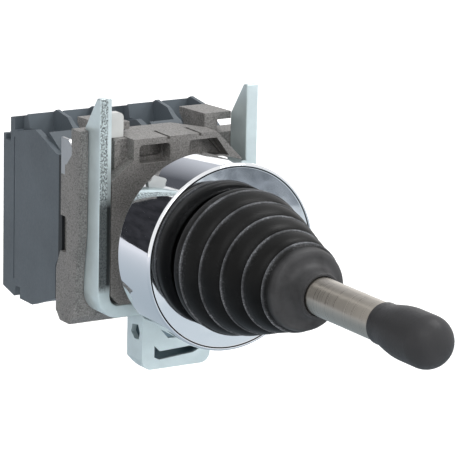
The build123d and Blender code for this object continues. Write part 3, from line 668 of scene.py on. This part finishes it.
class JOYSTICK_OT_lever(bpy.types.Operator):
    """Build the satin rod and its bullet-shaped knob."""

    bl_idname = "joystick.lever"
    bl_label = "Lever and knob"

    def execute(self, context):
        colours = context.scene.joystick_colours
        rod = radius_of("lever_rod")
        tip = front_of("knob")
        start = back_of("knob")
        rear = back_of("lever_rod")
        spigot, depth = 3.0, start - 12.0
        neck = 3.4
        shaft = [
            (0.0, rear), (neck, rear), (neck, -1.4), (rod, -2.4), (rod, start), (spigot, start),
            (spigot, depth), (0.0, depth),
        ]
        cuts = [0.0, 0.2, 0.1, 0.3, 0.15, 0.1, 0.3, 0.0]
        piece = turned_piece("lever_shaft", rounded_loop(shaft, cuts, 4))
        stands_for(piece, satin_finish(tuple(colours.rod)), "lever", "lever_rod")

        # The grip swells from its collar with the sine of t to the power 1.2 and ends in a
        # quarter circle of its own radius.
        t = np.linspace(0, 1, 40)
        arc = t * math.pi / 2
        radius, collar = radius_of("knob"), 4.8
        flare, shoulder = start - 2.1, tip + radius + 5.7
        swell = collar + (radius - collar) * np.sin(arc) ** 1.2
        side = np.stack((swell, flare + (shoulder - flare) * t), axis=1)
        dome = np.stack((radius * np.cos(arc), tip + radius - radius * np.sin(arc)), axis=1)
        back = start - 0.02
        mouth = [(spigot, back), (collar - 0.25, back), (collar, start - 0.3)]
        outline = np.concatenate((mouth, side, dome, [(0.0, depth), (spigot, depth)]))
        grip = turned_piece("knob_grip", outline)
        material = plastic_finish("knob_plastic", (0.040, 0.040, 0.042), 0.46, 1700.0, 0.16)
        stands_for(grip, material, "lever", "knob")
        return {"FINISHED"}


class JOYSTICK_OT_castings(bpy.types.Operator):
    """Finish the die-cast body and rear collars."""

    bl_idname = "joystick.castings"
    bl_label = "Castings"

    def execute(self, context):
        material = cast_finish(tuple(context.scene.joystick_colours.casting))
        for node in ("body_casting", "left_collar", "right_collar"):
            dress(soften(node, 0.35 * MM, 3), material)
        return {"FINISHED"}


class JOYSTICK_OT_sheet_metal(bpy.types.Operator):
    """Finish the bracket, the stirrup, the clips and the screws."""

    bl_idname = "joystick.sheet_metal"
    bl_label = "Sheet metal"

    def execute(self, context):
        tint = tuple(context.scene.joystick_colours.plating)
        low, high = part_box("mounting_bracket")
        leg = 3.15 * MM
        line, bend = low[X] + 0.66 * leg, low[Z] + 2 * leg
        dress(soften("mounting_bracket", 0.3 * MM), sheared_finish(tint, line, bend))
        low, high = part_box("clamp_stirrup")
        channel = stirrup_finish(tint, low, high, 1.4 * MM)
        dress(soften("clamp_stirrup", 0.25 * MM), channel)
        # The heel is a folded sheet at the channel's rear, behind the slot. It takes the channel's
        # finish, so its part inside the hollow carries painted shade.
        rear = high[Y] - 0.7 * MM
        line = [
            (high[Y] - 5.4 * MM, low[Z] + 1.0 * MM), (rear, low[Z] + 3.2 * MM),
            (rear, low[Z] + 4.0 * MM),
        ]
        heel = folded_strip("stirrup_heel", line, 0.6 * MM, high[X] - 1.3 * MM)
        dress(heel, channel)
        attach(heel, "housing")
        bright = metal_finish("spring_steel", (0.46, 0.47, 0.48), 0.36)
        screws = metal_finish("plated_screws", (0.60, 0.62, 0.62), 0.30)
        for node in ("left_collar_clip", "right_collar_clip"):
            dress(soften(node, 0.1 * MM), bright)
        for node in ("clamp_screws", "terminal_screws", "terminal_clamps"):
            dress(soften(node, 0.12 * MM), screws)
        return {"FINISHED"}


class JOYSTICK_OT_contact_blocks(bpy.types.Operator):
    """Finish the moulded contact blocks, their plungers and the pale stop."""

    bl_idname = "joystick.contact_blocks"
    bl_label = "Contact blocks"

    def execute(self, context):
        edge = context.scene.joystick_sizes.edge_radius
        tint = tuple(context.scene.joystick_colours.housing)
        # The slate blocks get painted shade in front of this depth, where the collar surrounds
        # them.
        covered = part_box("left_collar")[1][Y] - 3.3 * MM
        slate = plastic_finish("slate_plastic", tint, 0.46, 1500.0, covered=covered)
        green = plastic_finish("plunger_plastic", (0.06, 0.22, 0.11), 0.4, 1500.0)
        pale = plastic_finish("pale_plastic", (0.62, 0.63, 0.62), 0.5, 1200.0)
        dress(soften("leg_stop", edge), pale)
        for side in SIDES:
            dress(soften(side + "_contact_block", edge), slate)
            dress(soften(side + "_plunger", 0.1 * MM), green)
        return {"FINISHED"}


class JOYSTICK_OT_mechanism(bpy.types.Operator):
    """Finish the head body, gimbal, pushers, contacts and springs."""

    bl_idname = "joystick.mechanism"
    bl_label = "Mechanism"

    def execute(self, context):
        black = plastic_finish("black_plastic", (0.02, 0.02, 0.022), 0.42, 1500.0)
        seal = plastic_finish("gasket_rubber", (0.015, 0.015, 0.016), 0.55, 900.0)
        steel = metal_finish("gimbal_steel", (0.58, 0.57, 0.55), 0.28)
        blackened = metal_finish("blackened_steel", (0.02, 0.02, 0.021), 0.5)
        brass = metal_finish("contact_brass", (0.72, 0.56, 0.28), 0.25)
        wire = metal_finish("spring_wire", (0.62, 0.63, 0.64), 0.22)
        groups = (
            (black, ["head_body"] + [side + "_pusher" for side in SIDES]),
            (seal, ["panel_gasket"]),
            (steel, ["gimbal_ring", "gimbal_pins", "lever_pin", "rocker_plate"]),
            (blackened, ["spring_seat"]),
            (brass, ["fixed_contacts"] + [side + "_contact_bridge" for side in SIDES]),
        )
        for material, nodes in groups:
            for node in nodes:
                dress(soften(node, 0.12 * MM), material)
        for node in ["return_spring"] + [side + "_plunger_spring" for side in SIDES]:
            dress(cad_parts[node], wire)
        return {"FINISHED"}


def stage_card(name, places, faces, material):
    """Makes one open card of the stage."""
    mesh = bpy.data.meshes.new(name)
    mesh.from_pydata(places.tolist(), [], faces.tolist())
    card = placed(name, mesh)
    dress(card, material)
    return card


def sheet(name, centre, size, material):
    """Level card of the stage: a rectangle with its centre and its two sizes."""
    signs = np.array([(-1, -1, 0), (1, -1, 0), (1, 1, 0), (-1, 1, 0)])
    places = signs * np.array([*size, 1]) / 2
    card = stage_card(name, places, np.arange(4)[None], material)
    card.location = centre
    return card


def flag(name, turn, depth, material):
    """Studio flag: a sector of a flat ring round the lever's axis, seen only by reflections.

    A point at radius r and angle a is (r cos a, depth, r sin a).
    """
    angle = np.radians(np.linspace(*turn, FLAG_POINTS))
    j = np.arange(FLAG_POINTS - 1)
    faces = np.stack((j, j + 1, FLAG_POINTS + j + 1, FLAG_POINTS + j), axis=-1)
    places = turned(np.array(FLAG_SPAN), depth, angle)
    hide_from_view(stage_card(name, places, faces, material))


def hide_from_view(card):
    """Leaves a flag visible to reflections only."""
    card.visible_camera = False
    card.visible_diffuse = False
    card.visible_shadow = False


def glow(name, first, second, spread="clouds"):
    """Flag material from first to second: in clouds, across to the right, or away outwards."""
    finish = Finish(name, (0.0, 0.0, 0.0), 1.0)
    finish.set("Specular IOR Level", 0.0)
    finish.set("Emission Strength", 1.0)
    if spread == "clouds":
        share = finish.between(finish.noise(22.0, 4.0, 0.6), 0.40, 0.62)
    elif spread == "across":
        share = finish.past(X, 0.0, 0.22)
    else:
        share = finish.between(finish.away(), 0.16, 0.95)
    finish.set("Emission Color", finish.blend(share, first, second))
    return finish.material


def lamp(name, place, size, power):
    """Square soft lamp that points at the origin."""
    light = bpy.data.lights.new(name, "AREA")
    light.shape = "SQUARE"
    light.size = size
    light.energy = power
    body = placed(name, light)
    body.location = place
    body.rotation_euler = (-Vector(place)).to_track_quat("-Z", "Y").to_euler()
    return body


class JOYSTICK_OT_stage(bpy.types.Operator):
    """Add the floor, flags, lamps, surroundings and camera."""

    bl_idname = "joystick.stage"
    bl_label = "Studio"

    def execute(self, context):
        scene = context.scene
        dark = glow("dark_flag", (0.045, 0.045, 0.052), (0.025, 0.026, 0.03))
        grey = glow("grey_flag", (0.10, 0.105, 0.12), (0.62, 0.64, 0.69), "across")
        slate = glow("slate_flag", (0.13, 0.15, 0.17), (0.38, 0.42, 0.47))
        pale = glow("pale_flag", (0.42, 0.49, 0.55), (0.86, 0.88, 0.94), "away")
        front = glow("front_flag", (0.62, 0.70, 0.76), (0.82, 0.88, 0.92))
        bright = glow("bright_flag", (1.3, 1.3, 1.3), (1.3, 1.3, 1.3))
        flag("flag_left", (116.0, 188.5), 0.50, dark)
        flag("flag_top", (43.0, 104.0), 0.52, grey)
        flag("flag_upper_right", (-20.0, 43.0), 0.54, bright)
        flag("flag_right", (-78.0, -20.0), 0.50, slate)
        low = cad_box[0][Z]
        sheet("floor", (0.0, 0.0, low - 0.09), (8.0, 8.0), self.floor_finish())
        for name, centre, size, material in (
            ("flag_floor", (0.0, 0.0, low - 0.087), (3.2, 3.2), pale),
            ("flag_front", (0.18, -0.36, low - 0.084), (0.50, 0.50), front),
            ("flag_front_right", (0.40, -0.52, low - 0.081), (0.20, 0.22), slate),
        ):
            hide_from_view(sheet(name, centre, size, material))
        lamp("key_lamp", (-0.45, -0.55, 0.65), 0.5, 2.8)
        lamp("fill_lamp", (0.46, -0.76, 0.20), 0.2, 2.8).visible_glossy = False
        lamp("top_lamp", (0.42, -0.10, 0.76), 0.28, 4.0)
        self.surroundings(scene)
        self.camera(scene)
        scene.view_settings.view_transform = "Standard"
        return {"FINISHED"}

    def floor_finish(self):
        """Pale floor that keeps the shadow near the object and fades to white further off."""
        floor = Finish("pale_floor", (0.80, 0.80, 0.80), 0.9)
        floor.set("Specular IOR Level", 0.0)
        fade = floor.between(floor.away(), 0.15, 0.60, 0.25, 0.75) * floor.seen()
        floor.set("Emission Color", floor.blend(fade, (0.0, 0.0, 0.0), (1.0, 1.0, 1.0)))
        floor.set("Emission Strength", 1.0)
        return floor.material

    def surroundings(self, scene):
        """White where it is seen itself or in a mirror, and half as bright as a light."""
        world = bpy.data.worlds.new("studio")
        world.use_nodes = True
        nodes = Nodes(world.node_tree)
        background = world.node_tree.nodes["Background"]
        nodes.feed(background.inputs["Color"], (1.0, 1.0, 1.0, 1.0))
        level = nodes.between(nodes.seen(), 0.0, 1.0, 0.5, 1.0)
        nodes.feed(background.inputs["Strength"], level)
        scene.world = world

    def camera(self, scene):
        """Long lens in front, left of and above the lever, turned a little about its axis."""
        azimuth, elevation, roll = (math.radians(value) for value in (31.29, 13.80, 1.21))
        distance, lens = 0.8, 269.1
        aside, above = 6.585 * MM, 3.858 * MM
        across = math.cos(elevation)
        back = Vector((
            -math.sin(azimuth) * across, -math.cos(azimuth) * across, math.sin(elevation),
        ))
        level = Vector((math.cos(azimuth), -math.sin(azimuth), 0))
        right = level * math.cos(roll) + back.cross(level) * math.sin(roll)
        up = back.cross(right)
        data = bpy.data.cameras.new("camera")
        data.lens = lens
        data.sensor_width = SENSOR
        camera = placed("camera", data)
        place = right * aside + up * above + back * distance
        axes = Matrix((right, up, back)).transposed()
        camera.matrix_world = Matrix.Translation(place) @ axes.to_4x4()
        scene.camera = camera


OPERATORS = (
    JOYSTICK_OT_bezel, JOYSTICK_OT_boot, JOYSTICK_OT_lever, JOYSTICK_OT_castings,
    JOYSTICK_OT_sheet_metal, JOYSTICK_OT_contact_blocks, JOYSTICK_OT_mechanism, JOYSTICK_OT_stage,
)


class JOYSTICK_PT_panel(bpy.types.Panel):
    """Sidebar list of the joystick's pieces."""

    bl_idname = "JOYSTICK_PT_panel"
    bl_label = "Joystick"
    bl_space_type = "VIEW_3D"
    bl_region_type = "UI"
    bl_category = "Joystick"

    def draw(self, context):
        for operator in OPERATORS:
            self.layout.operator(operator.bl_idname)


CLASSES = (JoystickSizes, JoystickColours, *OPERATORS, JOYSTICK_PT_panel)


def register():
    for item in CLASSES:
        bpy.utils.register_class(item)
    bpy.types.Scene.joystick_sizes = bpy.props.PointerProperty(type=JoystickSizes)
    bpy.types.Scene.joystick_colours = bpy.props.PointerProperty(type=JoystickColours)


def unregister():
    del bpy.types.Scene.joystick_colours
    del bpy.types.Scene.joystick_sizes
    for item in reversed(CLASSES):
        bpy.utils.unregister_class(item)


def main():
    register()
    for operator in OPERATORS:
        family, name = operator.bl_idname.split(".")
        getattr(getattr(bpy.ops, family), name)()


if __name__ == "__main__":
    main()
